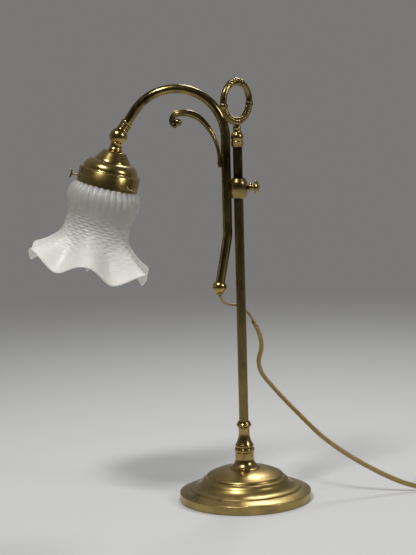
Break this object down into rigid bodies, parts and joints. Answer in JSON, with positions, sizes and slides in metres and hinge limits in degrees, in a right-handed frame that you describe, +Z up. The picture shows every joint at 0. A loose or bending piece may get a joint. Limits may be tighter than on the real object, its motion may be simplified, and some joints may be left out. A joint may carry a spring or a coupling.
{
  "type": "table lamp",
  "caption": "Brass swan-neck table lamp: stepped round base, straight stem with finial ring, sliding arm with cast scroll, and a ruffled glass tulip shade on a tilting knuckle.",
  "frame": {"origin": "centre of the base's underside, on the table", "axes": "+Z up along the stem; the arm reaches along -X; the clamping thumbscrew points along +X; -Y is the front seen in the picture"},
  "size_m": [0.5596, 0.1537, 0.4482],
  "materials": {
    "brass_polished": "polished and lacquered",
    "brass_cast": "cast and polished",
    "steel": "zinc plated",
    "iron": "as cast",
    "felt": "felt",
    "bush_plastic": "natural nylon",
    "grommet_plastic": "moulded",
    "cord_sheath": "clear gold sheath",
    "holder_plastic": "moulded",
    "holder_core": "ceramic",
    "wire": "insulated wire",
    "bulb_metal": "rolled",
    "bulb_glass": "frosted",
    "shade_glass": "satin, ribbed and ruffled",
    "tie_plastic": "strap",
    "plug_plastic": "moulded"
  },
  "bodies": {
    "stand": {"felt_pad": "felt", "base_shell": "brass_polished", "ballast": "iron", "base_washer": "steel", "base_nut": "steel", "tie_rod": "steel", "lower_pedestal": "brass_polished", "upper_pedestal": "brass_polished", "stem_tube": "brass_polished", "finial_knob": "brass_polished", "finial_ring": "brass_cast", "cord_coil": "cord_sheath", "cord_tie": "tie_plastic", "cord_relief": "plug_plastic", "plug_body": "plug_plastic", "plug_pins": "steel", "cord_drop": "cord_sheath"},
    "carriage": {"slide_bush": "bush_plastic", "cord_lead": "cord_sheath"},
    "arm": {"clamp_collar": "brass_polished", "arm_tube": "brass_polished", "arm_flex": "cord_sheath", "end_ball": "brass_polished", "cord_grommet": "grommet_plastic", "arm_scroll": "brass_cast", "scroll_rivet": "brass_cast", "knuckle_neck": "brass_polished", "knuckle_screw": "steel"},
    "clamp_screw": {"clamp_screw": "brass_polished"},
    "shade": {"knuckle_stub": "brass_polished", "gallery": "brass_polished", "gallery_nut": "steel", "holder_sleeve": "holder_plastic", "holder_core": "holder_core", "holder_wires": "wire", "bulb_cap": "bulb_metal", "bulb_glass": "bulb_glass", "glass_shade": "shade_glass"},
    "holder_screw_left": {"gallery_screw_left": "brass_polished"},
    "holder_screw_front": {"gallery_screw_front": "brass_polished"},
    "holder_screw_rear": {"gallery_screw_rear": "brass_polished"}
  },
  "joints": [
    {"name": "arm_height", "type": "slide", "parent": "stand", "child": "carriage", "axis": [0, 0, 1], "range_m": [-0.12, 0.005], "deforming": ["cord_drop"]},
    {"name": "arm_swing", "type": "hinge", "parent": "carriage", "child": "arm", "pos_m": [0, 0, 0.333], "axis": [0, 0, 1], "range_deg": [-90, 8]},
    {"name": "clamp_turn", "type": "hinge", "parent": "arm", "child": "clamp_screw", "pos_m": [0.016, 0, 0.3337], "axis": [1, 0, 0], "range_deg": [-90, 360]},
    {"name": "shade_tilt", "type": "hinge", "parent": "arm", "child": "shade", "pos_m": [-0.12344, 0, 0.39038], "axis": [0, 1, 0], "range_deg": [-25, 90]},
    {"name": "holder_screw_left_turn", "type": "hinge", "parent": "shade", "child": "holder_screw_left", "pos_m": [-0.13592, 0, 0.34382], "axis": [-0.9513, -0.1736, 0.2549], "range_deg": [-90, 360]},
    {"name": "holder_screw_front_turn", "type": "hinge", "parent": "shade", "child": "holder_screw_front", "pos_m": [-0.13592, 0, 0.34382], "axis": [0.6209, -0.766, -0.1664], "range_deg": [-90, 360]},
    {"name": "holder_screw_rear_turn", "type": "hinge", "parent": "shade", "child": "holder_screw_rear", "pos_m": [-0.13592, 0, 0.34382], "axis": [0.3304, 0.9397, -0.0885], "range_deg": [-90, 360]}
  ]
}
